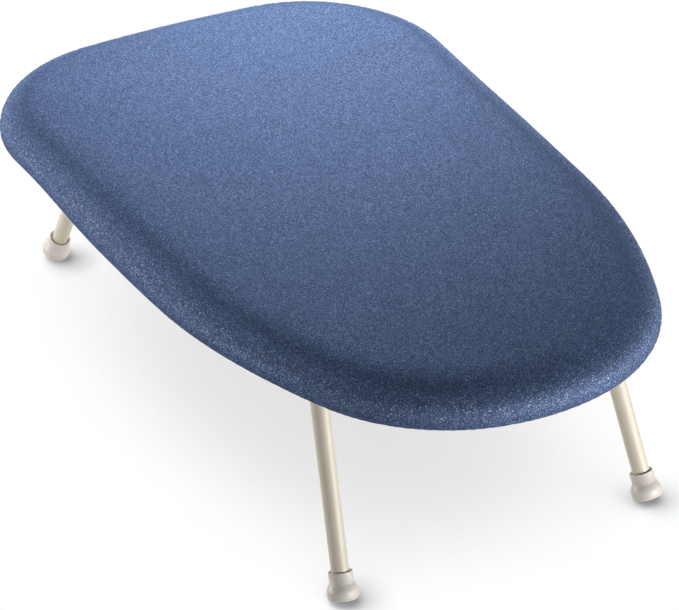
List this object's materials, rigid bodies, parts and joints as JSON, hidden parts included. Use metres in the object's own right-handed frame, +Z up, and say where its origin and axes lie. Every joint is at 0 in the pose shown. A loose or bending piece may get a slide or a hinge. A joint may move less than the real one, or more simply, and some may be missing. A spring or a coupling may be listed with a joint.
{
  "type": "tabletop ironing board",
  "caption": "Padded, cloth-covered tabletop ironing board with a rounded nose, on two splayed tube leg frames that fold flat under it.",
  "frame": {"origin": "on the surface it stands on, under the middle of the board", "axes": "+X towards the rounded nose, +Z up, +Y to the left of someone who looks from the tail towards the nose"},
  "size_m": [0.594, 0.3642, 0.18],
  "materials": {
    "cover_cloth": "steel-blue metallised cloth with a fine sparkle",
    "pad_felt": "off-white needled felt",
    "deck_paint": "cream powder coat, satin",
    "leg_paint": "cream powder coat, satin",
    "cap_plastic": "off-white soft plastic",
    "rivet_steel": "zinc-plated steel",
    "hem_elastic": "white elastic braid"
  },
  "bodies": {
    "board": {"cover": "cover_cloth", "hem_elastic": "hem_elastic", "pad": "pad_felt", "deck": "deck_paint", "front_cross_channel": "deck_paint", "rear_cross_channel": "deck_paint", "front_left_saddle": "deck_paint", "front_right_saddle": "deck_paint", "rear_left_saddle": "deck_paint", "rear_right_saddle": "deck_paint", "front_left_inner_rivet": "rivet_steel", "front_left_outer_rivet": "rivet_steel", "front_right_inner_rivet": "rivet_steel", "front_right_outer_rivet": "rivet_steel", "rear_left_inner_rivet": "rivet_steel", "rear_left_outer_rivet": "rivet_steel", "rear_right_inner_rivet": "rivet_steel", "rear_right_outer_rivet": "rivet_steel"},
    "front_legs": {"front_leg_frame": "leg_paint", "front_left_foot_cap": "cap_plastic", "front_right_foot_cap": "cap_plastic"},
    "rear_legs": {"rear_leg_frame": "leg_paint", "rear_left_foot_cap": "cap_plastic", "rear_right_foot_cap": "cap_plastic"}
  },
  "joints": [
    {"name": "front_leg_fold", "type": "hinge", "parent": "board", "child": "front_legs", "pos_m": [0.1647, 0, 0.1503], "axis": [0, 1, 0], "range_deg": [0, 114]},
    {"name": "rear_leg_fold", "type": "hinge", "parent": "board", "child": "rear_legs", "pos_m": [-0.199, 0, 0.1503], "axis": [0, -1, 0], "range_deg": [0, 116]}
  ]
}
